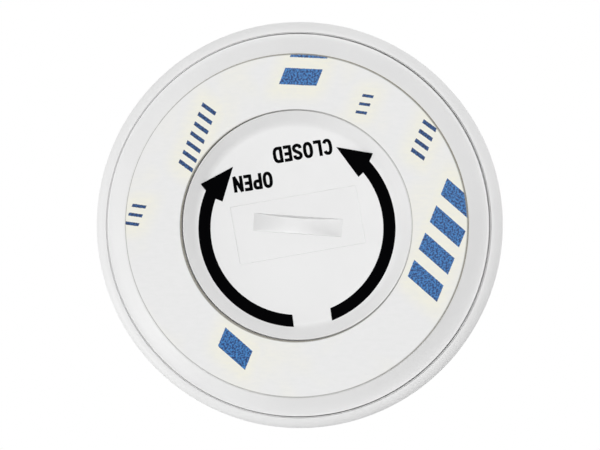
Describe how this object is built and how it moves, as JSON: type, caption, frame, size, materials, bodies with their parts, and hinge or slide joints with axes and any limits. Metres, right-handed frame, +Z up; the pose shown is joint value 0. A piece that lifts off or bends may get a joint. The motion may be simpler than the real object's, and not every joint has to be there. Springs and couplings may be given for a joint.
{
  "type": "temperature humidity sensor",
  "caption": "Round wall-stuck temperature and humidity sensor: white moulded case, coin-turned bayonet battery door with open and closed arrows, adhesive ring with its printed liner.",
  "frame": {"origin": "middle of the wall face: on the sensor's axis, in the plane of the release liner's outer face", "axes": "+Y along the sensor's axis from the wall to the room, +Z up, +X to the right of someone who looks at the back"},
  "size_m": [0.06, 0.0168, 0.06],
  "materials": {
    "liner_paper": "smooth coated release paper, printed in blue",
    "foam_tape": "soft acrylic foam with tacky faces",
    "cover_plastic": "fine satin moulding",
    "shell_plastic": "fine satin moulding",
    "door_plastic": "fine satin moulding with a printed floor",
    "cell_steel": "nickel-plated pressed steel",
    "gasket_plastic": "dark sealing ring",
    "cap_steel": "nickel-plated pressed steel, matt",
    "holder_plastic": "black moulding",
    "contact_metal": "tin-plated spring bronze",
    "board_laminate": "green solder mask",
    "screw_steel": "zinc-plated steel",
    "chip_plastic": "black moulding compound",
    "membrane": "white microporous film",
    "lamp_resin": "clear resin with a yellow tint",
    "clear_plastic": "clear polycarbonate",
    "plunger_plastic": "natural nylon",
    "radio_laminate": "blue solder mask",
    "shield_metal": "tin-plated steel",
    "antenna_ceramic": "fired white ceramic",
    "tantalum_resin": "yellow resin",
    "ferrite": "pressed dark ferrite",
    "capacitor_ceramic": "fired tan ceramic with tinned ends",
    "resistor_ceramic": "black glaze with tinned ends"
  },
  "bodies": {
    "housing": {"release_liner": "liner_paper", "adhesive_pad": "foam_tape", "rear_cover": "cover_plastic", "front_shell": "shell_plastic", "cell_can": "cell_steel", "cell_gasket": "gasket_plastic", "cell_cap": "cap_steel", "battery_holder": "holder_plastic", "positive_contacts": "contact_metal", "negative_contact": "contact_metal", "main_board": "board_laminate", "board_screws": "screw_steel", "humidity_sensor": "chip_plastic", "vent_membrane": "membrane", "status_led": "lamp_resin", "light_pipe": "clear_plastic", "switch_body": "chip_plastic", "radio_board": "radio_laminate", "radio_chip": "chip_plastic", "radio_shield": "shield_metal", "chip_antenna": "antenna_ceramic", "crystal": "shield_metal", "flash_memory": "chip_plastic", "tantalum_capacitor": "tantalum_resin", "inductor": "ferrite", "ceramic_capacitors": "capacitor_ceramic", "chip_resistors": "resistor_ceramic"},
    "door": {"battery_door": "door_plastic"},
    "plunger": {"switch_plunger": "plunger_plastic"}
  },
  "joints": [
    {"name": "door_turn", "type": "hinge", "parent": "housing", "child": "door", "pos_m": [0, 0.002, 0], "axis": [0, 1, 0], "range_deg": [0, 25]},
    {"name": "pairing_press", "type": "slide", "parent": "housing", "child": "plunger", "axis": [-0.7022, 0, -0.712], "range_m": [0, 0.0003], "stiffness_N_per_m": 2000, "springref_m": -0.0003}
  ]
}
